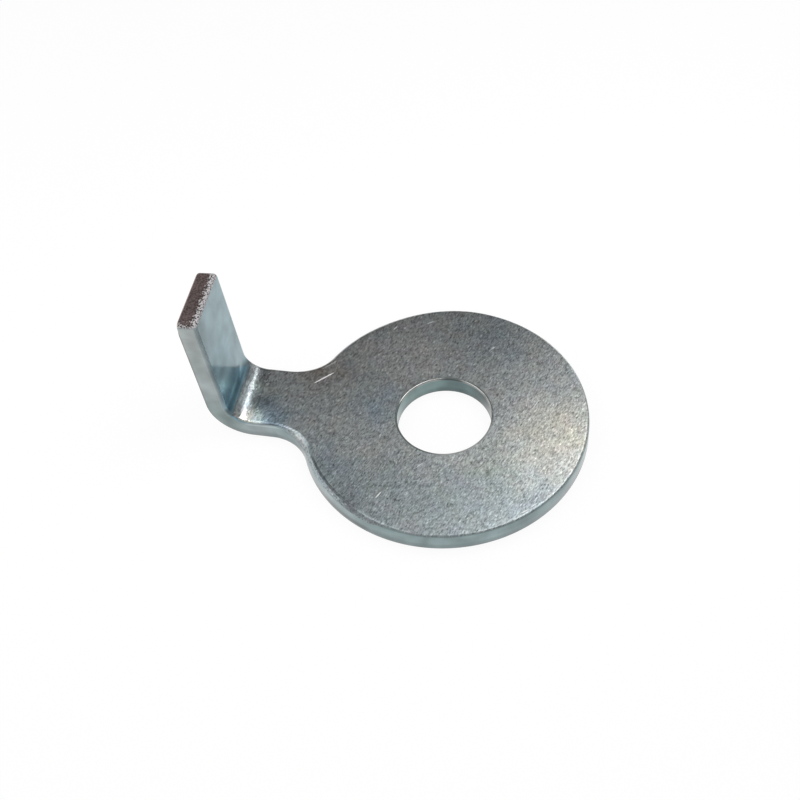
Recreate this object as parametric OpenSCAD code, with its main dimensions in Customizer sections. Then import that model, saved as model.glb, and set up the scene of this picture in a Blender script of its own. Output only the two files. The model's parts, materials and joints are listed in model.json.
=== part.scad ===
// Tab lock washer: a flat round washer whose tab is bent up to lock against an edge or a nut.
// It is one stamping. The bore axis is the Z axis, the underside lies on Z = 0 and the tab points to -X.

/* [Disc] */
// Outside diameter of the disc
disc_d = 32; // [24:0.5:48]
// Diameter of the bolt hole
bore_d = 10.5; // [4:0.1:16]
// Thickness of the sheet
sheet_t = 2.2; // [1:0.1:3]

/* [Tab] */
// Width of the tab
tab_w = 8.2; // [4:0.1:14]
// Radius of the hollow fillet on each side of the neck, between the disc and the tab
neck_r = 5; // [1.5:0.1:10]
// Straight flat length of the neck, from the fillets to the bend
neck_flat = 2.3; // [0.5:0.1:10]
// Radius of the bend on its inner face
bend_r = 2.6; // [1:0.1:5]
// Angle that the tab is bent up by
bend_angle = 86; // [30:1:110]
// Straight length of the tab past the bend
tab_rise = 13.1; // [4:0.1:25]
// Radius of the two corners at the tab's cut end
tab_corner = 0.6; // [0.2:0.05:2]

/* [Edges] */
// Radius of the edge that the punch drags over, all along the outline of the upper face
edge_roll = 0.45; // [0.1:0.05:0.7]
// Radius of the same dragged edge around the bolt hole
bore_roll = 0.3; // [0.1:0.05:0.7]

/* [Hidden] */
// Roundness of the curves on screen
$fn = 96;
// How far the cutters stand out of what they cut
cut_margin = 1;

disc_r = disc_d / 2;
bore_r = bore_d / 2;
tab_half = tab_w / 2;
// Centre of a neck fillet, which touches the disc and the side of the tab
fillet_y = tab_half + neck_r;
fillet_x = sqrt(pow(disc_r + neck_r, 2) - pow(fillet_y, 2));
// Half of the angle, seen from the bore axis, that the neck takes from the disc's rim
neck_angle = asin(fillet_y / (disc_r + neck_r));
// Distance from the bore axis to the start of the bend
bend_x = fillet_x + neck_flat;
// A corner is never tighter than the roll that runs round it
corner_r = max(tab_corner, edge_roll);

// Outline of the neck between its two fillets, as far as the straight tab
module neck_outline() {
    difference() {
        polygon([[0, 0], [-fillet_x, fillet_y], [-fillet_x, -fillet_y]]);
        for (side = [-1, 1])
            translate([-fillet_x, side * fillet_y])
                circle(r = neck_r);
    }
}

// Outline of the flat part of the stamping
module flat_outline() {
    difference() {
        union() {
            circle(r = disc_r);
            neck_outline();
            translate([-bend_x, -tab_half])
                square([neck_flat, tab_w]);
        }
        circle(r = bore_r);
    }
}

// Sliver that rounds an edge off: the edge is at the origin, with material at -X and -Y of it
module roll_sliver(r) {
    translate([-r, -r])
        difference() {
            square(r + cut_margin);
            circle(r = r);
        }
}

// Rounds the upper edge of the disc's rim, outside the neck
module rim_roll() {
    rotate(neck_angle - 180)
        rotate_extrude(angle = 360 - 2 * neck_angle)
            translate([disc_r, sheet_t])
                roll_sliver(edge_roll);
}

// Rounds the upper edge of the bolt hole
module hole_roll() {
    rotate_extrude()
        translate([bore_r, sheet_t])
            mirror([1, 0])
                roll_sliver(bore_roll);
}

// Rounds the upper edge of the neck fillet on the +Y side
module fillet_roll() {
    translate([-fillet_x, fillet_y])
        rotate(-90)
            rotate_extrude(angle = 90 - neck_angle)
                translate([neck_r, sheet_t])
                    mirror([1, 0])
                        roll_sliver(edge_roll);
}

// Rounds a straight upper edge of the strip on its +Y side, from X = start onwards
module side_roll(start, length) {
    translate([start, tab_half, sheet_t])
        rotate([90, 0, 90])
            linear_extrude(length)
                roll_sliver(edge_roll);
}

// Flat part of the stamping, with its upper edges rounded
module flat_part() {
    difference() {
        linear_extrude(sheet_t)
            flat_outline();
        rim_roll();
        hole_roll();
        for (side = [0, 1])
            mirror([0, side, 0]) {
                fillet_roll();
                side_roll(-bend_x, neck_flat);
            }
    }
}

// Section of the bent tab: its width along Y, the inner face at X = 0 and the outer one at X = sheet_t
module tab_section() {
    translate([0, edge_roll - tab_half])
        square([sheet_t, tab_w - 2 * edge_roll]);
    translate([edge_roll, -tab_half])
        square([sheet_t - edge_roll, tab_w]);
    for (side = [-1, 1])
        translate([edge_roll, side * (tab_half - edge_roll)])
            circle(r = edge_roll);
}

// Bend of the tab, turned about its own axis from where the flat part ends
module bend() {
    rotate_extrude(angle = bend_angle)
        translate([bend_r, 0])
            tab_section();
}

// Outline of the upright, laid flat: it starts at X = 0 and ends in two round corners
module upright_outline() {
    translate([corner_r - tab_rise, -tab_half])
        square([tab_rise - corner_r, tab_w]);
    translate([-tab_rise, corner_r - tab_half])
        square([corner_r, tab_w - 2 * corner_r]);
    for (side = [-1, 1])
        translate([corner_r - tab_rise, side * (tab_half - corner_r)])
            circle(r = corner_r);
}

// Rounds the upper edge of the upright's corner on the +Y side
module corner_roll() {
    translate([corner_r - tab_rise, tab_half - corner_r])
        rotate(90)
            rotate_extrude(angle = 90)
                translate([corner_r, sheet_t])
                    roll_sliver(edge_roll);
}

// Rounds the upper edge of the upright's cut end
module end_roll() {
    translate([-tab_rise, 0, sheet_t])
        rotate([90, 0, 180])
            linear_extrude(tab_w - 2 * corner_r, center = true)
                roll_sliver(edge_roll);
}

// Straight upright of the tab, laid flat, with its upper edges rounded
module upright() {
    difference() {
        linear_extrude(sheet_t)
            upright_outline();
        end_roll();
        for (side = [0, 1])
            mirror([0, side, 0]) {
                side_roll(corner_r - tab_rise, tab_rise - corner_r);
                corner_roll();
            }
    }
}

// The whole washer
module tab_washer() {
    color("lightsteelblue") {
        flat_part();
        translate([-bend_x, 0, sheet_t + bend_r]) {
            rotate([90, 0, 0])
                rotate(-90 - bend_angle)
                    bend();
            rotate([0, bend_angle, 0])
                translate([0, 0, -sheet_t - bend_r])
                    upright();
        }
    }
}

tab_washer();
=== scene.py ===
# %% [markdown]
# # A tab lock washer, dressed for its portrait
# The real part is one stamping. A press punches a flat blank out of steel sheet, with the bolt hole
# in it, folds the tab up, and the plater then covers it with zinc and a pale blue passivation.
# This script follows the same route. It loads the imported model, which gives the sizes and the place,
# makes the blank and folds it, and then gives the metal its finish, its light and its camera.

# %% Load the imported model
import json
import math

import bmesh
import bpy
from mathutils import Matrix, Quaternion, Vector


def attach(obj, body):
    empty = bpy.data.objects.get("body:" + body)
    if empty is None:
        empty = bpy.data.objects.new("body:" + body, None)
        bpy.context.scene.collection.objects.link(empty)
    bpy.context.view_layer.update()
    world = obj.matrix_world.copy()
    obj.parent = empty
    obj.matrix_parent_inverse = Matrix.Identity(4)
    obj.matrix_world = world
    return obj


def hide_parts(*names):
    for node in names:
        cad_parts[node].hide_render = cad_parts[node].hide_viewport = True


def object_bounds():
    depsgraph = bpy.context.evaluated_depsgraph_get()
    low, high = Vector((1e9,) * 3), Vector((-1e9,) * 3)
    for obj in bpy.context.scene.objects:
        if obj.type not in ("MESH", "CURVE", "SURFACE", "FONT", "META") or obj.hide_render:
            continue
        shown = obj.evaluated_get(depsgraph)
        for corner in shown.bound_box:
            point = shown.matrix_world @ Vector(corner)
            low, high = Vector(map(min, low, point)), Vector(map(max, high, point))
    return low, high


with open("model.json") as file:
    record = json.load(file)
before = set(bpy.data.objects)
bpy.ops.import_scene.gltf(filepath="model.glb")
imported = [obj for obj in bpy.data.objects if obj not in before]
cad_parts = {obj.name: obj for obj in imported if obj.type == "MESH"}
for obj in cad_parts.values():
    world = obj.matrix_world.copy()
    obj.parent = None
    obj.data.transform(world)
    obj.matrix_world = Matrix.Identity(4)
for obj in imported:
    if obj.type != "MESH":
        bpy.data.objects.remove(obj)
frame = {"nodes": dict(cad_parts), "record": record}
cad_low, cad_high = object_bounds()
MM = 0.001
print("The packed model measures", [round(side / MM, 2) for side in cad_high - cad_low], "mm")

# %% [markdown]
# ## The sizes of the stamping
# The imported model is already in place, so whatever can be read from it is read: the disc, the hole,
# the sheet, the width of the tab and the angle of the fold. What it doesn't state in plain numbers,
# such as the radius of a fillet, is written here once, in millimetres.

# %% Sizes in millimetres
CAD_NODE = "tab_washer"
mounts = {mount["name"]: mount for mount in frame["record"]["mounts"]}
tab_axis = mounts["tab_face"]["axis"]
tab_height = mounts["tab_face"]["pos_m"][2]
tab_points = [point.co for point in frame["nodes"][CAD_NODE].data.vertices if point.co.z > tab_height]

disc_radius = cad_high.x / MM
bore_radius = mounts["bore"]["dims"]["r_mm"]
sheet = mounts["upper_face"]["pos_m"][2] / MM
tab_half = max(point.y for point in tab_points) / MM
bend_angle = math.atan2(tab_axis[0], tab_axis[2])
neck_fillet = 5.0
neck_flat = 2.3
bend_radius = 2.6
tab_rise = 13.1

fillet_x = math.sqrt((disc_radius + neck_fillet) ** 2 - (tab_half + neck_fillet) ** 2)
bend_start = fillet_x + neck_flat
bend_length = bend_angle * (bend_radius + sheet / 2)
blank_end = bend_start + bend_length + tab_rise
print(f"Disc {2 * disc_radius:.1f}, hole {2 * bore_radius:.1f} and sheet {sheet:.1f} mm")
print(f"The tab is {2 * tab_half:.1f} mm wide and folds up by {math.degrees(bend_angle):.0f} degrees")
print(f"The flat blank is {disc_radius + blank_end:.1f} mm long")

# %% [markdown]
# ## Formulas as nodes
# A node tree that computes shapes is mostly sums, and a wall of Math nodes is hard to read in a
# script. A small class helps: a Term stands for one socket, and adding or multiplying two Terms adds
# the right Math node to the tree. The same class serves the shape and, later on, the material.

# %% A Term, which stands for one socket
class Term:
    """One output of a node, which can be used in a formula."""

    def __init__(self, tree, socket):
        self.tree = tree
        self.socket = socket

    def __add__(self, other):
        return maths(self.tree, "ADD", self, other)

    def __radd__(self, other):
        return maths(self.tree, "ADD", other, self)

    def __sub__(self, other):
        return maths(self.tree, "SUBTRACT", self, other)

    def __rsub__(self, other):
        return maths(self.tree, "SUBTRACT", other, self)

    def __mul__(self, other):
        return maths(self.tree, "MULTIPLY", self, other)

    def __rmul__(self, other):
        return maths(self.tree, "MULTIPLY", other, self)

    def __truediv__(self, other):
        return maths(self.tree, "DIVIDE", self, other)


print("A Term knows how to add, subtract, multiply and divide")

# %% Adding nodes and trees
NODES_IN_A_COLUMN = 12
NODE_GAP = (200, -170)


def add_node(tree, kind, inputs=None, **settings):
    """Adds a node, sets its options and feeds its inputs with Terms or plain values."""
    place = len(tree.nodes)
    node = tree.nodes.new(kind)
    node.location = (
        NODE_GAP[0] * (place // NODES_IN_A_COLUMN),
        NODE_GAP[1] * (place % NODES_IN_A_COLUMN),
    )
    for option, value in settings.items():
        setattr(node, option, value)
    for name, value in (inputs or {}).items():
        if isinstance(value, Term):
            tree.links.new(value.socket, node.inputs[name])
        else:
            node.inputs[name].default_value = value
    return node


def term(tree, kind, inputs=None, output=0, **settings):
    """Adds a node and returns one of its outputs as a Term."""
    return Term(tree, add_node(tree, kind, inputs, **settings).outputs[output])


def new_tree(name, kind, inputs, outputs):
    """A node tree with named sockets. It returns the tree, its inputs as Terms, and its output node."""
    tree = bpy.data.node_groups.new(name, kind)
    for socket, socket_type in inputs.items():
        tree.interface.new_socket(socket, in_out="INPUT", socket_type=socket_type)
    for socket, socket_type in outputs.items():
        tree.interface.new_socket(socket, in_out="OUTPUT", socket_type=socket_type)
    group_in = add_node(tree, "NodeGroupInput")
    terms = {socket: Term(tree, group_in.outputs[socket]) for socket in inputs}
    return tree, terms, add_node(tree, "NodeGroupOutput")


print("New nodes are laid out in columns of", NODES_IN_A_COLUMN)


# %% Sums, angles and soft steps
def maths(tree, operation, *values):
    """One Math node."""
    return term(tree, "ShaderNodeMath", dict(enumerate(values)), operation=operation)


def sine(angle):
    return maths(angle.tree, "SINE", angle)


def cosine(angle):
    return maths(angle.tree, "COSINE", angle)


def larger(one, other):
    return maths(one.tree, "MAXIMUM", one, other)


def smaller(one, other):
    return maths(one.tree, "MINIMUM", one, other)


def progress(value, start, end):
    """0 up to the start, 1 from the end on, and an even rise between them."""
    return term(value.tree, "ShaderNodeMapRange", {"Value": value, "From Min": start, "From Max": end})


def soft_rise(value, start, end):
    """The same rise with a gentle start and end."""
    inputs = {"Value": value, "From Min": start, "From Max": end}
    return term(value.tree, "ShaderNodeMapRange", inputs, interpolation_type="SMOOTHSTEP")


def band(value, start, full, fading, end):
    """1 between full and fading, 0 outside start and end, with a soft border on each side."""
    return soft_rise(value, start, full) * soft_rise(value, end, fading)


def axes(vector):
    """The X, Y and Z of a vector, as three Terms."""
    node = add_node(vector.tree, "ShaderNodeSeparateXYZ", {0: vector})
    return [Term(vector.tree, output) for output in node.outputs]


def vector_of(tree, x, y, z):
    return term(tree, "ShaderNodeCombineXYZ", {0: x, 1: y, 2: z})


print("Node formulas are ready")

# %% [markdown]
# ## The blank
# A punched edge has a shape of its own: the punch drags the upper edge down into a soft roll, cuts a
# straight wall, and leaves a crisp edge below. A bevel modifier could round the edges, but the fold
# needs clean rows of faces across the tab, so the blank is laid out by a rule instead, in Geometry
# Nodes. One walk goes along half of the outline and a second goes up the section of the edge, and a
# grid is bent to both. Three more grids make the two faces and the wall of the hole.

# %% How finely each stretch is divided
FACE_ROWS = 14
ROW_CROWDING = 1.8
OUTLINE_STEPS = {"end": FACE_ROWS, "corner": 8, "side": 110, "fillet": 40, "disc": 240}
SECTION_STEPS = {"foot": 1, "burr": 3, "wall": 2, "roll": 12}
outline_steps = sum(OUTLINE_STEPS.values())
section_steps = sum(SECTION_STEPS.values())
print("Half of the outline has", outline_steps, "steps, and the section of its edge", section_steps)


# %% Helpers for a walk and a grid
def stretches(step, counts):
    """How far a walk has come in each of its stretches, from 0 to 1, given its step number."""
    found = []
    start = 0
    for count in counts:
        found.append(progress(step, start, start + count))
        start += count
    return found


def sheet_grid(tree, columns, rows):
    """A flat grid, with the step number of each point along it and across it."""
    grid = add_node(
        tree,
        "GeometryNodeMeshGrid",
        {"Size X": columns, "Size Y": rows, "Vertices X": columns + 1, "Vertices Y": rows + 1},
    )
    x, y, _ = axes(term(tree, "GeometryNodeInputPosition"))
    return Term(tree, grid.outputs["Mesh"]), x + columns / 2, y + rows / 2


def moved(tree, mesh, position):
    return term(tree, "GeometryNodeSetPosition", {"Geometry": mesh, "Position": position})


print("A walk is told by its step number, and a grid by two of them")

# %% The tree and its named sizes
# The edge's own rows reach in from the outline by the edge reach, which also rounds the tab's corners.
HALF_TURN = math.pi
QUARTER_TURN = math.pi / 2
BLANK_SIZES = {
    "Disc radius": disc_radius,
    "Hole radius": bore_radius,
    "Sheet thickness": sheet,
    "Tab half width": tab_half,
    "Neck fillet": neck_fillet,
    "Bend start": bend_start,
    "Bend radius": bend_radius,
    "Bend angle": bend_angle,
    "Tab rise": tab_rise,
    "Edge reach": 0.8,
    "Roll width": 0.8,
    "Roll depth": 1.4,
    "Tab roll": 0.4,
    "Far roll": 0.32,
    "Hole roll width": 0.16,
    "Hole roll depth": 0.13,
    "Burr break": 0.08,
    "End rounding": 0.3,
    "Bend sag": 0.06,
}
tree, size, tree_out = new_tree(
    "folded_blank",
    "GeometryNodeTree",
    {name: "NodeSocketFloat" for name in BLANK_SIZES},
    {"Geometry": "NodeSocketGeometry"},
)
reach = size["Edge reach"]
thickness = size["Sheet thickness"]
neutral_radius = size["Bend radius"] + thickness / 2
fold_length = size["Bend angle"] * neutral_radius
strip_end = size["Bend start"] + fold_length + size["Tab rise"]
fillet_rise = size["Tab half width"] + size["Neck fillet"]
fillet_reach = size["Disc radius"] + size["Neck fillet"]
fillet_run = maths(tree, "SQRT", fillet_reach * fillet_reach - fillet_rise * fillet_rise)
neck_angle = maths(tree, "ARCSINE", fillet_rise / fillet_reach)
disc_turn = HALF_TURN - neck_angle
fillet_turn = QUARTER_TURN - neck_angle
print("The tree takes", len(BLANK_SIZES), "named sizes")


# %% A walk along half of the outline
def outline_place(step, inset):
    """X and Y on half of the outline, drawn in by an inset: cut end, corner, side, fillet, disc."""
    end, corner, side, fillet, disc = stretches(step, OUTLINE_STEPS.values())
    end_share = 1 - maths(tree, "POWER", 1 - end, ROW_CROWDING)
    corner_angle = corner * QUARTER_TURN
    fillet_angle = fillet * fillet_turn
    disc_angle = disc_turn * (1 - disc)
    corner_radius = reach - inset
    fillet_radius = size["Neck fillet"] + inset
    rim_radius = size["Disc radius"] - inset
    x = inset - strip_end
    x = x + corner_radius * (1 - cosine(corner_angle))
    x = x + (strip_end - reach - fillet_run) * side
    x = x + fillet_radius * sine(fillet_angle)
    x = x + rim_radius * (cosine(disc_angle) - cosine(disc_turn))
    y = (size["Tab half width"] - reach) * end_share
    y = y + corner_radius * sine(corner_angle)
    y = y + fillet_radius * (1 - cosine(fillet_angle))
    y = y + rim_radius * (sine(disc_angle) - sine(disc_turn))
    return x, y


print("The walk starts in the middle of the cut end and stops on the far side of the disc")

# %% [markdown]
# ### The section of a punched edge
# The soft roll of this washer is wide towards the tab and thin on the far side, probably because the
# punch sat closer to its die there. So the section is a formula whose width and depth change along
# the walk, which one profile swept along a curve couldn't do.

# %% How wide the roll is, and how crisp the lower edge
ROLL_FADES = (0.16, 0.45)
END_ROUNDING_FADES = (0, 0.04)


def outline_roll(step):
    """Width and depth of the dragged edge at one step of the outline."""
    _, _, _, fillet, disc = stretches(step, OUTLINE_STEPS.values())
    widens = soft_rise(fillet, 0, 1)
    fades = soft_rise(disc, *ROLL_FADES)
    width = size["Tab roll"] + (size["Roll width"] - size["Tab roll"]) * widens
    width = width + (size["Far roll"] - size["Roll width"]) * fades
    depth = size["Tab roll"] + (size["Roll depth"] - size["Tab roll"]) * widens
    depth = depth + (size["Far roll"] - size["Roll depth"]) * fades
    return width, depth


def lower_edge(step):
    """Size of the broken lower edge, which is rounder at the tab's end."""
    side = stretches(step, OUTLINE_STEPS.values())[2]
    fades = soft_rise(side, *END_ROUNDING_FADES)
    return size["End rounding"] + (size["Burr break"] - size["End rounding"]) * fades


print(f"The wide roll ends {ROLL_FADES[1]:.0%} of the way round the disc")


# %% The section itself
def dragged(inset, width, depth):
    """How far the punch has dragged the upper face down, at a distance from the cut wall."""
    nearness = larger(1 - inset / width, 0)
    return depth * (1 - maths(tree, "SQRT", 1 - nearness * nearness))


def edge_section(step, burr_size, width, depth):
    """Inset and height up a punched edge: flat foot, broken burr, straight wall and soft roll."""
    foot, burr, wall, roll = stretches(step, SECTION_STEPS.values())
    roll_inset = reach * roll * roll
    inset = reach - (reach - burr_size) * foot - burr_size * sine(burr * QUARTER_TURN) + roll_inset
    height = burr_size * (1 - cosine(burr * QUARTER_TURN)) + (thickness - depth - burr_size) * wall
    height = height + depth - dragged(roll_inset, width, depth)
    return inset, height


print("The section has", len(SECTION_STEPS), "stretches:", ", ".join(SECTION_STEPS))

# %% The edge, and the wall of the hole
edge, along, up = sheet_grid(tree, outline_steps, section_steps)
edge_inset, edge_height = edge_section(up, lower_edge(along), *outline_roll(along))
edge_x, edge_y = outline_place(along, edge_inset)
edge = moved(tree, edge, vector_of(tree, edge_x, edge_y, edge_height))

hole, around, up = sheet_grid(tree, OUTLINE_STEPS["disc"], section_steps)
hole_roll_size = (size["Hole roll width"], size["Hole roll depth"])
hole_inset, hole_height = edge_section(up, size["Burr break"], *hole_roll_size)
hole_angle = HALF_TURN - around * (HALF_TURN / OUTLINE_STEPS["disc"])
hole_reach = size["Hole radius"] + hole_inset
hole_x = hole_reach * cosine(hole_angle)
hole_y = hole_reach * sine(hole_angle)
hole = moved(tree, hole, vector_of(tree, hole_x, hole_y, hole_height))
print("The edge and the hole take", len(tree.nodes), "nodes")

# %% The two faces between them
face_start = OUTLINE_STEPS["end"] + OUTLINE_STEPS["corner"]
face, along, across = sheet_grid(tree, outline_steps - face_start, FACE_ROWS)
along = along + face_start
outer_x, outer_y = outline_place(along, reach)
_, _, side, fillet, disc = stretches(along, OUTLINE_STEPS.values())
ring = size["Hole radius"] + reach
ring_angle = HALF_TURN * (1 - disc)
inner_x = reach - strip_end + (strip_end - reach - fillet_run) * side + (fillet_run - ring) * fillet
inner_x = inner_x + ring * (1 + cosine(ring_angle))
inner_y = ring * sine(ring_angle)
inwards = maths(tree, "POWER", across / FACE_ROWS, ROW_CROWDING)
step_x = (inner_x - outer_x) * inwards
step_y = (inner_y - outer_y) * inwards
face_x = outer_x + step_x
face_y = outer_y + step_y
face_inset = reach + maths(tree, "SQRT", step_x * step_x + step_y * step_y)
face_drop = dragged(smaller(face_inset, face_x + strip_end), *outline_roll(along))
lower_face = moved(tree, face, vector_of(tree, face_x, face_y, 0.0))
upper_face = moved(tree, face, vector_of(tree, face_x, face_y, thickness - face_drop))
print("Half of the blank is four grids with", len(tree.nodes), "nodes so far")

# %% [markdown]
# ### Mirror and weld
# The washer is the same on both sides of its middle line, so the other half is a mirrored copy, and
# points that meet are welded. The place of every point on the flat sheet is kept as an attribute,
# because the finish was on the sheet before the fold and has to follow it round the bend.

# %% Mirror, weld and remember the flat place of every point
WELD_DISTANCE = 0.001


def joined(tree, parts):
    """Several meshes as one."""
    node = add_node(tree, "GeometryNodeJoinGeometry")
    for part in parts:
        tree.links.new(part.socket, node.inputs["Geometry"])
    return Term(tree, node.outputs["Geometry"])


half = joined(tree, (edge, hole, lower_face, upper_face))
other_half = term(tree, "GeometryNodeTransform", {"Geometry": half, "Scale": (1, -1, 1)})
blank = joined(tree, (half, other_half))
blank = term(tree, "GeometryNodeMergeByDistance", {"Geometry": blank, "Distance": WELD_DISTANCE})
place = term(tree, "GeometryNodeInputPosition")
blank = term(
    tree,
    "GeometryNodeStoreNamedAttribute",
    {"Geometry": blank, "Name": "blank", "Value": place},
    data_type="FLOAT_VECTOR",
    domain="POINT",
)
print("The flat place of every point is kept in the attribute blank, in millimetres")

# %% [markdown]
# ## The fold
# In the press the tab is wiped up round a rounded edge. The middle of the sheet keeps its length, the
# inner face is squeezed and the outer one stretched. A simple deform modifier can bend a mesh, but it
# bends all of it, so every point past the fold line is turned about the fold's axis by a formula.
# The squeezed edge in front gives way a little, just where the fold starts.

# %% Fold the tab up
SAG_FROM = 0.8
SAG_ALONG = (-3.0, 0.5, 1.8, 3.2)
zinc = bpy.data.materials.new("zinc_plate")
x, y, z = axes(place)
past_fold = 0 - size["Bend start"] - x
sag_across = larger(0 - y - SAG_FROM, 0) / (size["Tab half width"] - SAG_FROM)
sag = size["Bend sag"] * sag_across * sag_across * band(past_fold, *SAG_ALONG)
z = z - z / thickness * sag

past_fold = larger(past_fold, 0)
turn = smaller(past_fold, fold_length) / neutral_radius
straight = larger(past_fold - fold_length, 0)
turn_radius = size["Bend radius"] + thickness - z
folded_x = larger(x, 0 - size["Bend start"]) - turn_radius * sine(turn)
folded_x = folded_x - straight * cosine(size["Bend angle"])
folded_z = thickness + size["Bend radius"] - turn_radius * cosine(turn)
folded_z = folded_z + straight * sine(size["Bend angle"])
folded = moved(tree, blank, vector_of(tree, folded_x, y, folded_z))
folded = term(tree, "GeometryNodeTransform", {"Geometry": folded, "Scale": (MM, MM, MM)})
folded = term(tree, "GeometryNodeSetShadeSmooth", {"Geometry": folded})
folded = term(tree, "GeometryNodeRealizeInstances", {"Geometry": folded})
folded = term(tree, "GeometryNodeSetMaterial", {"Geometry": folded, "Material": zinc})
tree.links.new(folded.socket, tree_out.inputs["Geometry"])
print("The whole tree has", len(tree.nodes), "nodes")


# %% Run the tree and keep the result as a plain mesh
def mesh_from_tree(name, tree, values):
    """A mesh object that holds what a geometry tree makes, with the modifier gone."""
    piece = bpy.data.objects.new(name, bpy.data.meshes.new(name))
    bpy.context.scene.collection.objects.link(piece)
    modifier = piece.modifiers.new("shape", "NODES")
    modifier.node_group = tree
    for item in tree.interface.items_tree:
        if item.in_out == "INPUT":
            modifier[item.identifier] = values[item.name]
    graph = bpy.context.evaluated_depsgraph_get()
    made = bpy.data.meshes.new_from_object(
        piece.evaluated_get(graph), preserve_all_data_layers=True, depsgraph=graph
    )
    piece.modifiers.remove(modifier)
    piece.data = made
    return piece


washer = mesh_from_tree("zinc_tab_washer", tree, BLANK_SIZES)
shell = bmesh.new()
shell.from_mesh(washer.data)
bmesh.ops.recalc_face_normals(shell, faces=shell.faces)
open_edges = sum(not edge.is_manifold for edge in shell.edges)
volume = shell.calc_volume() / MM**3
shell.to_mesh(washer.data)
shell.free()
print(f"{len(washer.data.polygons)} faces, {open_edges} open edges, {volume:.0f} cubic mm")

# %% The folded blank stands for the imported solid
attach(washer, "root")
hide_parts(CAD_NODE)
print(washer.name, "stands for", CAD_NODE)

# %% [markdown]
# ## The finish
# The washer is plated with zinc and dipped in a clear blue passivation. The plating shows the rolled
# grain of the sheet on the faces, while the walls that the punch cut, and the tab, came out smooth.
# The colour is a thin film, so it wanders between blue, teal and a warm grey from place to place.
# A painted image could show all of that, but nodes that read the flat place of each point stay sharp
# at any size and follow the fold.

# %% Helpers for colours
def colour(red, green, blue):
    return (red, green, blue, 1.0)


# A Mix node has sockets of several kinds, and these are the numbers of the ones for colours.
MIX_INPUTS = (0, 6, 7)
MIX_OUTPUT = 2


def mixed(share, first, second, blend="MIX"):
    """A blend of two colours, of which a share is the second one."""
    values = (share, first, second)
    tree = next(value.tree for value in values if isinstance(value, Term))
    inputs = dict(zip(MIX_INPUTS, values))
    return term(tree, "ShaderNodeMix", inputs, output=MIX_OUTPUT, data_type="RGBA", blend_type=blend)


def shaded(paint, red, green, blue):
    """A colour with its red, green and blue each multiplied."""
    return mixed(1.0, paint, vector_of(paint.tree, red, green, blue), blend="MULTIPLY")


def toned(paint, tone):
    """A colour made lighter or darker by one number."""
    return shaded(paint, tone, tone, tone)


def between(share, first, second):
    """A number that goes from the first to the second."""
    return first + share * (second - first)


print("Colours can be mixed, shaded and toned")


# %% Helpers for noise, distances and groups
def vector_maths(tree, operation, *values, output=0):
    return term(tree, "ShaderNodeVectorMath", dict(enumerate(values)), output=output, operation=operation)


def distance(one, other):
    """How far two places are apart."""
    return vector_maths(one.tree, "DISTANCE", one, other, output="Value")


def noise(place, scale, detail, output="Fac"):
    """Soft noise, around 0.5, with cells of about 1 / scale millimetres."""
    inputs = {"Vector": place, "Scale": scale, "Detail": detail}
    return term(place.tree, "ShaderNodeTexNoise", inputs, output=output)


def ripple(place, scale, detail=1.0):
    """The same noise, around 0."""
    return noise(place, scale, detail) - 0.5


def grouped(tree, group, inputs):
    """A group node with its inputs fed by name."""
    return term(tree, "ShaderNodeGroup", inputs, node_tree=group)


print("Noise and groups can be used in formulas")

# %% [markdown]
# ### A grain, a patch and a scratch
# Three things come back all over the finish: the grain that the rolls have drawn out one way, a soft
# patch where the film is of another tint, and a scratch. The same patch also paints highlight and shade
# at the bend, and the same line also draws painted glints. Each is a small group with named inputs, so
# that it is made once and used with different numbers. A group only gives a value or a colour. The
# shader itself stays in the material.

# %% A grain that is drawn out one way
CRYSTALS_IN_A_CELL = 1.5
grain_group, grain_in, grain_out = new_tree(
    "rolled_grain",
    "ShaderNodeTree",
    {
        "Place": "NodeSocketVector",
        "Lean": "NodeSocketFloat",
        "Length": "NodeSocketFloat",
        "Width": "NodeSocketFloat",
        "Crystals": "NodeSocketFloat",
    },
    {"Grain": "NodeSocketFloat"},
)
turned = term(
    grain_group,
    "ShaderNodeVectorRotate",
    {"Vector": grain_in["Place"], "Angle": 0 - grain_in["Lean"]},
    rotation_type="Z_AXIS",
)
turned_x, turned_y, turned_z = axes(turned)
cells = vector_of(
    grain_group,
    turned_x / grain_in["Length"],
    turned_y / grain_in["Width"],
    turned_z / grain_in["Width"],
)
crystals = term(
    grain_group,
    "ShaderNodeTexVoronoi",
    {"Vector": cells, "Scale": CRYSTALS_IN_A_CELL},
    output="Color",
)
crystal, _, _ = axes(crystals)
grain = ripple(cells, scale=1.0, detail=2.0) + (crystal - 0.5) * grain_in["Crystals"]
grain_group.links.new(grain.socket, grain_out.inputs["Grain"])
print("The grain has", len(grain_group.nodes), "nodes")

# %% A soft patch of tint
patch_group, patch_in, patch_out = new_tree(
    "tint_patch",
    "ShaderNodeTree",
    {
        "Colour": "NodeSocketColor",
        "Place": "NodeSocketVector",
        "Centre": "NodeSocketVector",
        "Reach": "NodeSocketFloat",
        "Tint": "NodeSocketColor",
    },
    {"Colour": "NodeSocketColor"},
)
nearness = soft_rise(distance(patch_in["Place"], patch_in["Centre"]), patch_in["Reach"], 0.0)
tinted = mixed(nearness, patch_in["Colour"], patch_in["Tint"], blend="MULTIPLY")
patch_group.links.new(tinted.socket, patch_out.inputs["Colour"])


def patched(paint, place, centre, span, tint):
    """A colour with a soft patch of tint around a centre."""
    inputs = {"Colour": paint, "Place": place, "Centre": centre, "Reach": span, "Tint": tint}
    return grouped(place.tree, patch_group, inputs)


print("A patch has", len(patch_group.nodes), "nodes")
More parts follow.
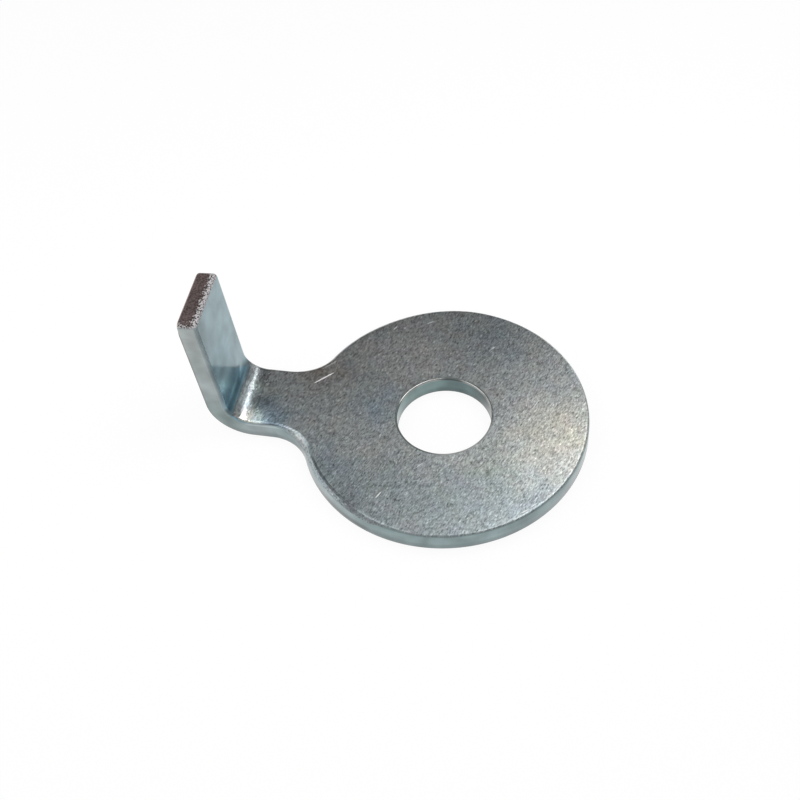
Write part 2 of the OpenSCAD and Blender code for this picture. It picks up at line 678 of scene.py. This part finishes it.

# %% A scratch or a painted glint, from one point to another
TAPER_END = 0.35
TAPER_SWELL = 2.6
line_mark_group, line_mark_in, line_mark_out = new_tree(
    "scratch",
    "ShaderNodeTree",
    {
        "Mask": "NodeSocketFloat",
        "Place": "NodeSocketVector",
        "Start": "NodeSocketVector",
        "End": "NodeSocketVector",
        "Width": "NodeSocketFloat",
    },
    {"Mask": "NodeSocketFloat"},
)
run = vector_maths(line_mark_group, "SUBTRACT", line_mark_in["End"], line_mark_in["Start"])
gone = vector_maths(line_mark_group, "SUBTRACT", line_mark_in["Place"], line_mark_in["Start"])
share = vector_maths(line_mark_group, "DOT_PRODUCT", gone, run, output="Value")
share = share / vector_maths(line_mark_group, "DOT_PRODUCT", run, run, output="Value")
share = progress(share, 0.0, 1.0)
nearest = vector_maths(line_mark_group, "MULTIPLY", run, vector_of(line_mark_group, share, share, share))
taper = TAPER_END + TAPER_SWELL * share * (1 - share)
line_marked = soft_rise(distance(gone, nearest), line_mark_in["Width"] * taper, 0.0)
line_marked = larger(line_marked, line_mark_in["Mask"])
line_mark_group.links.new(line_marked.socket, line_mark_out.inputs["Mask"])
print("A scratch has", len(line_mark_group.nodes), "nodes")

# %% [markdown]
# ### Where each look begins
# On the real washer the grain stops where the punch or the fold has worked the metal smooth. The
# attribute tells every point where it lay on the sheet: X along the middle line, with the tab at the
# low end, Y across it and Z from the underside up. A mask is then a soft step on one of those numbers.
# Painted vertex masks would do as well, but they are only as sharp as the mesh.
# Below, two numbers say where a step is 0 and where it is 1. Four say where a band starts, is full,
# fades and ends. All are millimetres.

# %% The flat place of each point
FINE_CELLS = 5.0
BROAD_CELLS = 0.45
zinc.use_nodes = True
skin = zinc.node_tree
surface = skin.nodes["Principled BSDF"]
flat_place = term(skin, "ShaderNodeAttribute", output="Vector", attribute_name="blank")
flat_x, flat_y, flat_z = axes(flat_place)
in_plan = vector_of(skin, flat_x, flat_y, 0.0)
drop = sheet - flat_z
fine = ripple(flat_place, FINE_CELLS)
broad = ripple(flat_place, BROAD_CELLS)
print(f"X runs from {-blank_end:.1f} at the cut end to {disc_radius:.1f} at the far rim")

# %% The upper face, with the part of the roll that keeps its grain, and the underside
GRAIN_DROP = (0.13, 0.07)
UNDERSIDE = (0.02, 0.004)
WIDE_ROLL = (-17.2, -16.2, -6.0, -3.0)
NECK_ROLL_AT = (-15.6, -5.6, 0)
NECK_ROLL_REACH = (3.6, 1.6)
RAGGED_GRAIN = 0.12
WIDE_ROLL_GRAIN = 0.4
NECK_ROLL_GRAIN = 0.2
at_neck_roll = soft_rise(distance(in_plan, NECK_ROLL_AT), *NECK_ROLL_REACH)
at_wide_roll = band(flat_x, *WIDE_ROLL)
grain_depth = fine * RAGGED_GRAIN + at_wide_roll * WIDE_ROLL_GRAIN + at_neck_roll * NECK_ROLL_GRAIN
on_top = progress(drop - grain_depth, *GRAIN_DROP)
on_under = soft_rise(flat_z, *UNDERSIDE)
on_face = larger(on_top, on_under)
print(f"The grain goes {GRAIN_DROP[1]} mm down the roll, and {WIDE_ROLL_GRAIN} mm more where it is wide")

# %% The tab, the bend and the hole
TAB_BORDER = (-25.0, -24.2)
RAGGED_TAB = 1.2
BEND_BORDER = (1.0, -0.6)
HOLE_BORDER = (0.3, 0.19)
RAGGED_HOLE = 0.1
before_tab = soft_rise(flat_x + fine * RAGGED_TAB, *TAB_BORDER)
in_bend = soft_rise(flat_x + bend_start, *BEND_BORDER)
from_axis = vector_maths(skin, "LENGTH", in_plan, output="Value")
in_hole = soft_rise(from_axis - bore_radius + fine * RAGGED_HOLE, *HOLE_BORDER)
on_grain = on_face * before_tab * (1 - in_hole)
print(f"The grain stops in the fold, {-TAB_BORDER[1] - bend_start:.1f} mm past its start")

# %% [markdown]
# ### The smooth zinc
# The cut walls, the inner face of the tab and the wall of the hole are smooth and bluer than the
# faces. One colour would look like paint, because the film differs with how the metal was worked and
# how the bath drained, so each gets its own colour with a few zones of tint and faint streaks. Two of
# these colours are painted light: the deep blue low on the tab is a painted reflection of the neck, and
# the dark wall of the hole is painted shade, with painted glints on its edge.

# %% The cut walls
WALL = colour(0.245, 0.31, 0.318)
TAB_SIDE = colour(0.322, 0.362, 0.363)
TAB_SIDE_BORDER = (0.5, -3.5)
WALL_ZONES = {
    "bend_side": ((-25.0, -4.1, 1.0), 5.0, colour(0.76, 0.84, 0.82)),
    "side_top": ((-38.0, -4.1, 1.0), 6.0, colour(1.16, 1.14, 1.12)),
    "rim_left": ((-11.0, -11.5, 1.5), 8.0, colour(1.2, 1.08, 1.07)),
    "neck_side": ((-20.5, -4.1, 1.0), 4.0, colour(1.18, 1.06, 1.07)),
}
on_tab = soft_rise(flat_x + bend_start, *TAB_SIDE_BORDER)
paint = mixed(on_tab, WALL, TAB_SIDE)
for centre, span, tint in WALL_ZONES.values():
    paint = patched(paint, flat_place, centre, span, tint)
print("The walls have", len(WALL_ZONES), "zones of tint")

# %% The inner face of the tab
TAB = colour(0.255, 0.345, 0.375)
TAB_LOW_REFLECTION = colour(0.15, 0.255, 0.295)
TAB_FOOT_REFLECTION = colour(0.23, 0.42, 0.52)
TAB_DULL = colour(0.80, 0.87, 0.88)
TAB_DULL_AT = (-31.0, -2.0, 0)
TAB_DULL_REACH = 6.0
INNER_DROP = (0.4, 0.1)
FOOT_BORDER = (-29.5, -26.5)
LOW_BORDER = (-29.1, -28.5)
LOW_SLANT = 1.23
on_inner = soft_rise(drop, *INNER_DROP)
# The slanted low part of the inner face is a painted reflection of the neck: deep blue, and teal at its
# foot.
reflection_on_tab = soft_rise(flat_x - flat_y * LOW_SLANT, *LOW_BORDER)
reflection_paint = mixed(soft_rise(flat_x, *FOOT_BORDER), TAB_LOW_REFLECTION, TAB_FOOT_REFLECTION)
high_paint = patched(TAB, in_plan, TAB_DULL_AT, TAB_DULL_REACH, TAB_DULL)
paint = mixed(on_tab * on_inner, paint, mixed(reflection_on_tab, high_paint, reflection_paint))
print("The tab is pale above, deep blue below a slanted border, and teal at its foot")

# %% The wall and the edge of the hole
HOLE_REAR_SHADE = colour(0.135, 0.185, 0.19)
HOLE_LEFT_SHADE = colour(0.21, 0.29, 0.285)
HOLE_RIGHT_SHADE = colour(0.075, 0.095, 0.095)
HOLE_EDGE_SHADE = colour(0.105, 0.12, 0.118)
HOLE_EDGE_GLINT = colour(0.32, 0.33, 0.32)
LEFT_OF_HOLE = (1.0, -4.0)
RIGHT_OF_HOLE = (2.0, 4.6)
HOLE_ROLL_DROP = (0.3, 0.15)
REAR_GLINT = (5.9, 6.9)
FRONT_GLINT = (4.5, 6.5)
# The wall of the hole is painted shade, darkest on the right. Its edge gets a line of painted shade, with
# painted glints in three places.
hole_shade_and_glint = mixed(soft_rise(flat_x, *LEFT_OF_HOLE), HOLE_REAR_SHADE, HOLE_LEFT_SHADE)
hole_shade_and_glint = mixed(soft_rise(flat_x, *RIGHT_OF_HOLE), hole_shade_and_glint, HOLE_RIGHT_SHADE)
hole_roll = in_hole * soft_rise(drop, *HOLE_ROLL_DROP)
hole_glint = larger(soft_rise(flat_y - flat_x, *REAR_GLINT), soft_rise(flat_y + flat_x, *REAR_GLINT))
glint_edge = larger(hole_glint, soft_rise(flat_x - flat_y, *FRONT_GLINT))
hole_shade_and_glint = mixed(hole_roll, hole_shade_and_glint, mixed(glint_edge, HOLE_EDGE_SHADE, HOLE_EDGE_GLINT))
paint = mixed(in_hole, paint, hole_shade_and_glint)
# The three pale places on the edge are these painted glints.
print("The edge of the hole is rubbed pale in three places")

# %% The rolled edge of the tab, and streaks
ROLL_SHEEN = colour(0.47, 0.52, 0.53)
ROLL_SHEEN_SHARE = 0.55
TAB_ROLL_DROP = (0.002, 0.02, 0.2, 0.5)
STREAK_CELLS = 1.6
STREAK_STRETCH = 0.25
STREAK_TONE = 0.18
BROAD_TONE = 0.8
on_roll = band(drop, *TAB_ROLL_DROP) * (1 - before_tab)
paint = mixed(on_roll * ROLL_SHEEN_SHARE, paint, ROLL_SHEEN)
streak_place = vector_of(skin, flat_x, flat_y, flat_z * STREAK_STRETCH)
streaks = ripple(streak_place, STREAK_CELLS, detail=2.0)
paint = toned(paint, 1 + streaks * STREAK_TONE + broad * BROAD_TONE)
print("The smooth zinc takes", len(skin.nodes), "nodes")

# %% [markdown]
# ### The tint of the faces
# A passivation film is so thin that light makes its colour, and a little more or less of it shifts the
# tint. On this washer the right is warm, the neck has a brown and a blue side, and there are a few soft
# clouds, and the front of the disc is darker, which is painted shade. Plain noise would put such clouds
# anywhere, so broad zones are listed one by one, and noise only makes their borders wander. The small
# zones at the bend are painted highlight and painted shade beside the streak of light. They sit still,
# because a border that wanders would break up that streak.

# %% Zones of tint on the faces
FACE = colour(0.323, 0.342, 0.343)
FRONT_SHADE = colour(0.76, 0.81, 0.83)
FRONT_BORDER = (-5.0, -10.5)
WANDER_CELLS = 0.35
WANDER_REACH = (5.0, 5.0, 0.0)
FACE_ZONES = {
    "pale_rear_left": ((-6.0, 9.0, 0), 8.0, colour(1.25, 1.20, 1.20)),
    "dull_rear_right": ((4.0, 12.0, 0), 6.0, colour(0.80, 0.85, 0.90)),
    "warm_right": ((13.0, -1.0, 0), 8.0, colour(1.20, 1.12, 1.00)),
    "grey_left": ((-12.0, -7.5, 0), 5.5, colour(0.85, 0.90, 0.95)),
    "brown_neck": ((-15.0, 5.0, 0), 4.5, colour(0.85, 0.75, 0.70)),
    "blue_neck": ((-19.0, -3.0, 0), 4.0, colour(0.80, 0.95, 1.10)),
    "blue_by_hole": ((-7.5, 0.5, 0), 4.5, colour(0.85, 0.95, 1.05)),
    "green_by_hole": ((6.5, -6.0, 0), 4.5, colour(0.85, 0.90, 0.85)),
    "dark_rim": ((-8.5, -13.5, 0), 4.0, colour(0.65, 0.65, 0.70)),
    "blue_bend": ((-23.5, 0.0, 0), 4.5, colour(1.00, 1.10, 1.15)),
}
wander = noise(in_plan, WANDER_CELLS, detail=2.0, output="Color")
wander = vector_maths(skin, "SUBTRACT", wander, (0.5, 0.5, 0.5))
wander = vector_maths(skin, "MULTIPLY", wander, WANDER_REACH)
wandering = vector_maths(skin, "ADD", in_plan, wander)
_, wandering_y, _ = axes(wandering)
# Painted shade darkens the front of the disc.
face_paint = mixed(soft_rise(wandering_y, *FRONT_BORDER), FACE, FRONT_SHADE, blend="MULTIPLY")
for centre, span, tint in FACE_ZONES.values():
    face_paint = patched(face_paint, wandering, centre, span, tint)
print("The faces have", len(FACE_ZONES), "zones with wandering borders")

# %% Painted highlight and shade at the bend
BEND_HIGHLIGHT_AND_SHADE = {
    "painted_light_front": ((-21.5, -3.8, 0), 2.4, colour(4.2, 4.05, 3.6)),
    "shade_on_highlight_foot": ((-22.6, -3.6, 0), 2.4, colour(0.55, 0.55, 0.56)),
    "shade_before_highlight": ((-24.1, 2.2, 0), 1.3, colour(0.60, 0.62, 0.64)),
    "painted_highlight_tail": ((-21.7, 0.9, 0), 1.6, colour(1.75, 1.80, 1.75)),
    "shade_below_bend": ((-20.2, -1.0, 0), 1.6, colour(0.65, 0.67, 0.69)),
}
# Each zone is a painted highlight or painted shade beside the streak of light in the bend.
for centre, span, tint in BEND_HIGHLIGHT_AND_SHADE.values():
    face_paint = patched(face_paint, in_plan, centre, span, tint)
print("The bend has", len(BEND_HIGHLIGHT_AND_SHADE), "zones that sit still")

# %% [markdown]
# ### The grain of the faces
# Cold rolling leaves a fine grain in the sheet, drawn out one way, and zinc crystals grow over it. Long
# faint lines cross it. A bump alone would only show in the highlights, so the grain also changes the
# tone of the colour, with bright glints and dark pits, and two slow noises shift its hue.

# %% How light or dark the grain is
ROLLED_GRAIN = {"Lean": math.radians(69), "Length": 0.4, "Width": 0.165, "Crystals": 0.45}
LONG_LINES = {"Lean": math.radians(12), "Length": 3.0, "Width": 0.16, "Crystals": 0.0}
GRAIN_TONE = 1.4
GLINTS = (0.26, 0.42)
GLINT_TONE = 0.55
PITS = (-0.26, -0.42)
PIT_TONE = 0.1
MOTTLE_CELLS = 1.3
MOTTLE_TONE = 0.42
LINE_TONE = 0.35
grain = grouped(skin, grain_group, {"Place": flat_place, **ROLLED_GRAIN})
lines = grouped(skin, grain_group, {"Place": flat_place, **LONG_LINES})
mottle = ripple(in_plan, MOTTLE_CELLS, detail=2.0)
grain_tone = grain * GRAIN_TONE
grain_tone = grain_tone + progress(grain, *GLINTS) * GLINT_TONE - progress(grain, *PITS) * PIT_TONE
grain_tone = 1 + grain_tone + mottle * MOTTLE_TONE + lines * LINE_TONE
print(f"A grain is {ROLLED_GRAIN['Length']} mm long and {ROLLED_GRAIN['Width']} mm wide")

# %% The hue of the grain, and the faces over the smooth zinc
WARM_CELLS = 0.4
WARM_HUE = 0.12
PINK_CELLS = 0.5
PINK_SHIFT = (40.0, 0.0, 0.0)
PINK_HUE = 0.06
PINK_HUE_IN_BLUE = 0.04
warm_or_blue = ripple(in_plan, WARM_CELLS)
pink_or_green = ripple(vector_maths(skin, "ADD", in_plan, PINK_SHIFT), PINK_CELLS)
face_paint = shaded(
    face_paint,
    grain_tone * (1 + warm_or_blue * WARM_HUE + pink_or_green * PINK_HUE),
    grain_tone * (1 - pink_or_green * PINK_HUE),
    grain_tone * (1 - warm_or_blue * WARM_HUE + pink_or_green * PINK_HUE_IN_BLUE),
)
paint = mixed(on_grain, paint, face_paint)
print("With the faces the material takes", len(skin.nodes), "nodes")

# %% [markdown]
# ### Darker and paler edges
# Shade and light are painted along several edges: painted shade in the fold and at the foot of the walls,
# painted shade and a painted highlight on the wide roll of the rim, and painted shade on the neck's edge,
# with its wall made paler below. The tab is also made darker along its front edge. Ambient occlusion
# could find hollows by itself, but it would treat them all alike, so each edge is named as a band on the
# flat sheet and gets a tone. The tones are multiplied, so their order doesn't matter.

# %% The fold and the front of the tab
CREASE = (-25.9, -25.0, -24.6, -23.8)
CREASE_SHADE = 0.5
STRIPE = (-26.3, -25.8, -25.5, -25.05)
STRIPE_END = (3.6, 2.4)
STRIPE_SHADE = 0.4
TAB_FRONT = (-0.6, -3.2)
TAB_TOP = (-32.5, -35.5)
TAB_FRONT_TONE = 0.22
# Painted shade darkens the crease and a stripe beside it on the inner face. The tab is also made darker
# along its front edge.
crease = band(flat_x, *CREASE) * on_inner
stripe = band(flat_x, *STRIPE) * soft_rise(flat_y, *STRIPE_END) * on_inner
tab_front = soft_rise(flat_y, *TAB_FRONT) * soft_rise(flat_x, *TAB_TOP) * on_tab
tab_front = tab_front * on_inner * (1 - on_roll)
tone = (1 - crease * CREASE_SHADE) * (1 - stripe * STRIPE_SHADE) * (1 - tab_front * TAB_FRONT_TONE)
print(f"The crease lies {-CREASE[2] - bend_start:.1f} mm past the start of the fold")

# %% The front edge of the neck
NECK_FRONT = (-3.0, -3.6)
NECK_SPAN = (-22.6, -21.4, -18.5, -17.0)
NECK_EDGE_DROP = (0.002, 0.012, 0.09, 0.14)
NECK_EDGE_SHADE = 0.55
NECK_WALL_DROP = (0.09, 0.14, 0.3, 0.5)
NECK_WALL_TONE = 0.3
# A thin line of painted shade on the neck's edge covers the overhead lamp's glint there, and the wall
# below it is made paler.
by_neck = soft_rise(flat_y, *NECK_FRONT) * band(flat_x, *NECK_SPAN)
neck_shade_and_pale_wall = band(drop, *NECK_WALL_DROP) * NECK_WALL_TONE - band(drop, *NECK_EDGE_DROP) * NECK_EDGE_SHADE
tone = tone * (1 + by_neck * neck_shade_and_pale_wall)
print(f"The neck's edge is dark for {NECK_EDGE_DROP[3]} mm down, and its wall is pale below that")

# %% The wide roll of the rim, and the foot of the walls
RIM_FRONT = (-6.0, -8.5)
RIM_SPAN = (-17.2, -16.2, -10.5, -3.5)
ROLL_START_DROP = (0.0003, 0.003, 0.05, 0.13)
ROLL_START_SHADE = 0.72
ROLL_MIDDLE_DROP = (0.05, 0.1, 0.15, 0.35)
ROLL_MIDDLE_SHADE = 0.25
ROLL_FOOT_DROP = (0.2, 0.4, 1.1, 1.6)
ROLL_FOOT_HIGHLIGHT = 0.3
LOWER_WALL = (1.0, 0.4)
LOWER_WALL_SHADE = 0.22
LEFT_WALL = (-17.5, -14.5, -8.0, -3.0)
LEFT_FOOT = (1.5, 0.75)
LEFT_FOOT_SHADE = 0.36
# On the rim's wide roll, painted shade lies along its start and middle and a painted highlight lies
# further down. The foot of the walls gets painted shade, more of it on the left.
by_rim = soft_rise(flat_y, *RIM_FRONT) * band(flat_x, *RIM_SPAN)
rim_shade_and_highlight = band(drop, *ROLL_FOOT_DROP) * ROLL_FOOT_HIGHLIGHT
rim_shade_and_highlight = rim_shade_and_highlight - band(drop, *ROLL_START_DROP) * ROLL_START_SHADE
rim_shade_and_highlight = rim_shade_and_highlight - band(drop, *ROLL_MIDDLE_DROP) * ROLL_MIDDLE_SHADE
lower_wall_shade = soft_rise(flat_z, *LOWER_WALL) * (1 - on_under) * (1 - on_tab)
left_foot_shade = band(flat_x, *LEFT_WALL) * soft_rise(flat_z, *LEFT_FOOT) * (1 - on_under)
tone = tone * (1 + by_rim * rim_shade_and_highlight)
tone = tone * (1 - lower_wall_shade * LOWER_WALL_SHADE) * (1 - left_foot_shade * LEFT_FOOT_SHADE)
paint = toned(paint, tone)
print("With the edges the material takes", len(skin.nodes), "nodes")

# %% [markdown]
# ### Scratches and painted glints
# Small parts are plated in a tumbling barrel and shipped loose, and they scratch each other. Noise
# stretched into lines looks like brushing, so the few scratches that can be seen are set one by one,
# as a start, an end and a width. The last two lines, on the rim's edge, are painted glints. The mask of
# one line is handed on to the next.

# %% Set the scratches and the painted glints
BRIGHT_ZINC_AND_GLINT = colour(0.85, 0.86, 0.86)
SCRATCHES_AND_GLINTS = {
    "neck": ((-15.45, 2.58, 0), (-13.6, 4.38, 0), 0.15),
    "front": ((-5.32, -11.95, 0), (-4.92, -11.15, 0), 0.12),
    "right": ((9.64, 2.45, 0), (10.07, 3.52, 0), 0.08),
    "below_hole": ((-1.8, -7.5, 0), (-1.1, -6.68, 0), 0.07),
    "rear": ((-4.3, 13.2, 0), (-3.6, 13.7, 0), 0.05),
    "rear_left": ((-8.05, 11.83, 0), (-7.67, 12.36, 0), 0.05),
    "rear_right": ((3.6, 10.09, 0), (4.2, 10.79, 0), 0.055),
    "far_right": ((10.19, 10.06, 0), (10.59, 10.57, 0), 0.06),
    "neck_rear": ((-15.0, 4.75, 0), (-13.5, 6.3, 0), 0.035),
    # The rim and rim_end lines are painted glints on the rim's edge.
    "rim": ((10.04, -11.71, 0), (10.8, -11.1, 0), 0.09),
    "rim_end": ((10.98, -10.82, 0), (11.53, -10.23, 0), 0.07),
}
scratches_and_glints = 0.0
for start, end, width in SCRATCHES_AND_GLINTS.values():
    inputs = {"Mask": scratches_and_glints, "Place": in_plan, "Start": start, "End": end, "Width": width}
    scratches_and_glints = grouped(skin, line_mark_group, inputs)
scratches_and_glints = scratches_and_glints * on_top
paint = mixed(scratches_and_glints, paint, BRIGHT_ZINC_AND_GLINT)
print("The upper face has", len(SCRATCHES_AND_GLINTS), "scratches_and_glints")

# %% [markdown]
# ### The torn end of the tab
# The tab's end is a torn, brown fracture with silver chips along its inner and front borders, so it
# was probably cut off after plating. Modelled chips would take more faces than the rest of the washer,
# so they are colours, chosen by a fine noise that gets a lift near those two borders. A dark brown line
# of painted shade runs along the thin burr at the foot of the walls, where the washer meets the floor.

# %% Where the end is torn
END_BORDER = (0.5, 0.35)
RAGGED_END = 0.25
UNDERSIDE_KEEPS = 0.3
SPECKLE_CELLS = 6.0
RAGGED_CELLS = 1.6
INNER_BORDER = (0.95, 0.3)
INNER_SLANT = 0.01
FRONT_BORDER_INSET = (0.8, 0.1)
FRONT_RAGGED = 0.9
at_end = progress(flat_x + blank_end + fine * RAGGED_END + on_under * UNDERSIDE_KEEPS, *END_BORDER)
speckle = ripple(flat_place, SPECKLE_CELLS, detail=2.0)
ragged = ripple(flat_place, RAGGED_CELLS, detail=3.0)
inner_border = progress(drop - ragged - flat_y * INNER_SLANT, *INNER_BORDER)
front_border = progress(tab_half + flat_y - ragged * FRONT_RAGGED, *FRONT_BORDER_INSET)
border = larger(inner_border, front_border)
print(f"The torn end reaches {END_BORDER[0]} mm down the tab, and its chips {INNER_BORDER[0]} mm in")

# %% Colours of the torn end and of the burr
CORE = colour(0.095, 0.064, 0.060)
BLACK = colour(0.018, 0.012, 0.012)
SILVER = colour(0.46, 0.45, 0.46)
OUTER_LIP = colour(0.27, 0.2, 0.19)
BURR_SHADE = colour(0.10, 0.085, 0.08)
HOLLOWS = (-0.18, 0.12)
HOLLOW_FINE = 0.6
HOLLOW_RAGGED = 0.4
LIP_HEIGHT = (0.22, 0.1)
LIP_RAGGED = 0.2
CHIPS = (0.25, 0.36)
CHIP_LIFT = 0.34
BURR_HEIGHT = (0.16, 0.06)
BURR_RAGGED = 0.05
BURR_SHADE_SHARE = 0.7
raised = progress(speckle + fine * HOLLOW_FINE + ragged * HOLLOW_RAGGED, *HOLLOWS)
torn = mixed(raised, BLACK, CORE)
torn = mixed(progress(flat_z + ragged * LIP_RAGGED, *LIP_HEIGHT), torn, OUTER_LIP)
torn = mixed(progress(speckle + border * CHIP_LIFT, *CHIPS), torn, SILVER)
paint = mixed(at_end, paint, torn)
# Painted shade: a dark brown line along the foot of the walls.
burr_shade = progress(flat_z + fine * BURR_RAGGED, *BURR_HEIGHT) * (1 - on_under) * (1 - at_end)
paint = mixed(burr_shade * BURR_SHADE_SHARE, paint, BURR_SHADE)
print("The colour of the material takes", len(skin.nodes), "nodes")

# %% [markdown]
# ### Gloss and relief
# Zinc is a metal all over, apart from the torn end, where rust and dirt cover most of it. Satin faces
# scatter the light of the lamps, the bend was polished by the press, and scratches and worn rolls are
# dull. All of that is roughness. A very low bump follows the grain, because real displacement of a few
# thousandths of a millimetre would need millions of faces.

# %% How rough each place is
FACE_ROUGH = 0.335
BEND_ROUGH = 0.19
SMOOTH_ROUGH = 0.2
ROLL_ROUGH = 0.7
HOLE_EDGE_ROUGH = 0.5
SCRATCH_AND_GLINT_ROUGH = 0.9
TORN_ROUGH = 0.55
BROAD_ROUGH = 0.04
BEND_GRAIN_ROUGH = 0.15
rough = between(on_grain, SMOOTH_ROUGH, between(in_bend, FACE_ROUGH, BEND_ROUGH))
rough = between(on_roll, rough, ROLL_ROUGH)
rough = between(hole_roll * (1 - hole_glint), rough, HOLE_EDGE_ROUGH)
rough = rough + broad * BROAD_ROUGH + grain * on_grain * in_bend * BEND_GRAIN_ROUGH
rough = between(scratches_and_glints, rough, SCRATCH_AND_GLINT_ROUGH)
rough = between(at_end, rough, TORN_ROUGH)
print(f"Roughness goes from {BEND_ROUGH} in the bend to {SCRATCH_AND_GLINT_ROUGH} in a scratch")

# %% Relief, metal and the finished material
GRAIN_HEIGHT = 0.005
BEND_LOSES = 0.004
WALL_HEIGHT = 0.001
TORN_LOSES_METAL = 0.75
relief = grain * on_grain * (GRAIN_HEIGHT - in_bend * BEND_LOSES)
relief = relief + fine * (1 - on_face) * WALL_HEIGHT
bump = add_node(skin, "ShaderNodeBump", {"Height": relief, "Distance": MM})
metal = 1 - at_end * TORN_LOSES_METAL
skin.links.new(paint.socket, surface.inputs["Base Color"])
skin.links.new(rough.socket, surface.inputs["Roughness"])
skin.links.new(metal.socket, surface.inputs["Metallic"])
skin.links.new(bump.outputs["Normal"], surface.inputs["Normal"])
print("The finished zinc material has", len(skin.nodes), "nodes")

# %% [markdown]
# ## Floor and surroundings
# The portrait stands on white paper that fades into white. Lighting the paper until it clips would
# flood the washer with light, so the paper shows plain white only to the camera and to reflections,
# and a small share of it stays a real surface that takes the washer's shadow. An even grey world
# fills what the lamps leave dark.

# %% A grey world and white paper
WORLD_GREY = (0.70, 0.70, 0.70, 1)
PAPER_WHITE = (0.9, 0.9, 0.9, 1)
SHINE_WHITE = (1, 1, 1, 1)
SHADOW_SHARE = 0.08
FLOOR_HALF = 1.5
FLOOR_DROP = 0.02 * MM


def rectangle(name, half_width, half_height, level=0.0):
    """A flat rectangle, in metres, around the middle of its object."""
    signs = ((-1, -1), (1, -1), (1, 1), (-1, 1))
    corners = [(half_width * x, half_height * y, level) for x, y in signs]
    mesh = bpy.data.meshes.new(name)
    mesh.from_pydata(corners, [], [(0, 1, 2, 3)])
    return bpy.data.objects.new(name, mesh)


world = bpy.data.worlds.new("studio")
bpy.context.scene.world = world
world.use_nodes = True
world.node_tree.nodes["Background"].inputs["Color"].default_value = WORLD_GREY

floor = rectangle("floor", FLOOR_HALF, FLOOR_HALF, level=-FLOOR_DROP)
bpy.context.scene.collection.objects.link(floor)
print("The floor is", 2 * FLOOR_HALF, "m wide")

# %% Paper that looks white to the camera and to reflections
paper = bpy.data.materials.new("white_paper")
paper.use_nodes = True
floor.data.materials.append(paper)
paper_tree = paper.node_tree
paper_tree.nodes.clear()
rays = add_node(paper_tree, "ShaderNodeLightPath")
from_camera = Term(paper_tree, rays.outputs["Is Camera Ray"])
from_gloss = Term(paper_tree, rays.outputs["Is Glossy Ray"])
from_glass = Term(paper_tree, rays.outputs["Is Transmission Ray"])
seen = larger(larger(from_camera, from_gloss), from_glass)
diffuse = term(paper_tree, "ShaderNodeBsdfDiffuse", {"Color": PAPER_WHITE})
glow = term(paper_tree, "ShaderNodeEmission", {"Color": SHINE_WHITE, "Strength": 1.0})
white = term(paper_tree, "ShaderNodeMixShader", {0: seen * (1 - SHADOW_SHARE), 1: diffuse, 2: glow})
add_node(paper_tree, "ShaderNodeOutputMaterial", {"Surface": white})
print(f"The paper keeps {SHADOW_SHARE:.0%} of the washer's shadow")

# %% [markdown]
# ## The lamps
# Metal shows what stands around it, so each lamp is a soft rectangle at the place where its reflection
# has to be. The near softbox gives the bright right of the disc, and the bend squeezes it into a streak.
# The overhead lamp, the panel and the window draw the thin bright lines along rolled edges, and a dark
# card dims the rear of the disc. None of them shows in the picture itself.

# %% Four soft lamps
def aim_at_washer(thing, place, turn):
    """Puts a lamp or card at a place in millimetres, facing the washer, turned about that line."""
    spot = Vector(place) * MM
    thing.location = spot
    thing.rotation_mode = "QUATERNION"
    thing.rotation_quaternion = (-spot).to_track_quat("-Z", "Y") @ Quaternion((0, 0, 1), turn)
    thing.visible_camera = False
    bpy.context.scene.collection.objects.link(thing)


def softbox(name, place, width, height, brightness, turn=0.0):
    """A soft lamp. A brightness of 1 is as bright as white paper in full light."""
    lamp = bpy.data.lights.new(name, "AREA")
    lamp.shape = "RECTANGLE"
    lamp.size = width * MM
    lamp.size_y = height * MM
    lamp.energy = brightness * math.pi * lamp.size * lamp.size_y
    aim_at_washer(bpy.data.objects.new(name, lamp), place, turn)


softbox("near_softbox", place=(33, 34.1, 94.5), width=66, height=69, brightness=3.0, turn=1.44)
softbox("left_overhead", place=(-55, -2, 95), width=60, height=60, brightness=1.9)
softbox("far_window", place=(108, 391, 151), width=98, height=104, brightness=3.7)
softbox("left_panel", place=(-240, -21, 65), width=214, height=256, brightness=1.28)
print("The scene has", len(bpy.data.lights), "lamps")

# %% A dark card
CARD_GREY = (0.14, 0.14, 0.14, 1)
CARD_HALF_WIDTH = 71 * MM
CARD_HALF_HEIGHT = 45 * MM
CARD_AT = (-27.4, 108.8, 85.2)
CARD_TURN = -0.114
card = rectangle("dark_card", CARD_HALF_WIDTH, CARD_HALF_HEIGHT)
aim_at_washer(card, CARD_AT, CARD_TURN)
card_paint = bpy.data.materials.new("dark_card")
card_paint.use_nodes = True
card_surface = card_paint.node_tree.nodes["Principled BSDF"]
card_surface.inputs["Base Color"].default_value = CARD_GREY
card_surface.inputs["Roughness"].default_value = 1.0
card.data.materials.append(card_paint)
print("The card dims the rear of the disc")

# %% [markdown]
# ## The camera
# The picture was taken from in front of the washer and well above it, a little tilted. The place, the
# lens and the tilt were found by laying the outline of the model over the picture, which is closer
# than setting a camera by eye.

# %% Set the camera
CAMERA_AT = Vector((18.539, -84.904, 112.624))
CAMERA_AIM = Vector((-5.513, 2.323, 1.1))
CAMERA_ROLL = math.radians(-5.86)
CAMERA_LENS = 56.93
SENSOR_WIDTH = 36
NEAREST_SEEN = 5 * MM
camera_data = bpy.data.cameras.new("portrait")
camera_data.lens = CAMERA_LENS
camera_data.sensor_width = SENSOR_WIDTH
camera_data.clip_start = NEAREST_SEEN
camera = bpy.data.objects.new("portrait", camera_data)
bpy.context.scene.collection.objects.link(camera)
camera.location = CAMERA_AT * MM
camera.rotation_mode = "QUATERNION"
upright = (CAMERA_AIM - CAMERA_AT).to_track_quat("-Z", "Y")
camera.rotation_quaternion = upright @ Quaternion((0, 0, 1), CAMERA_ROLL)
bpy.context.scene.camera = camera
bpy.context.scene.view_settings.view_transform = "Standard"
print(f"The camera looks from {(CAMERA_AT - CAMERA_AIM).length:.0f} mm away")
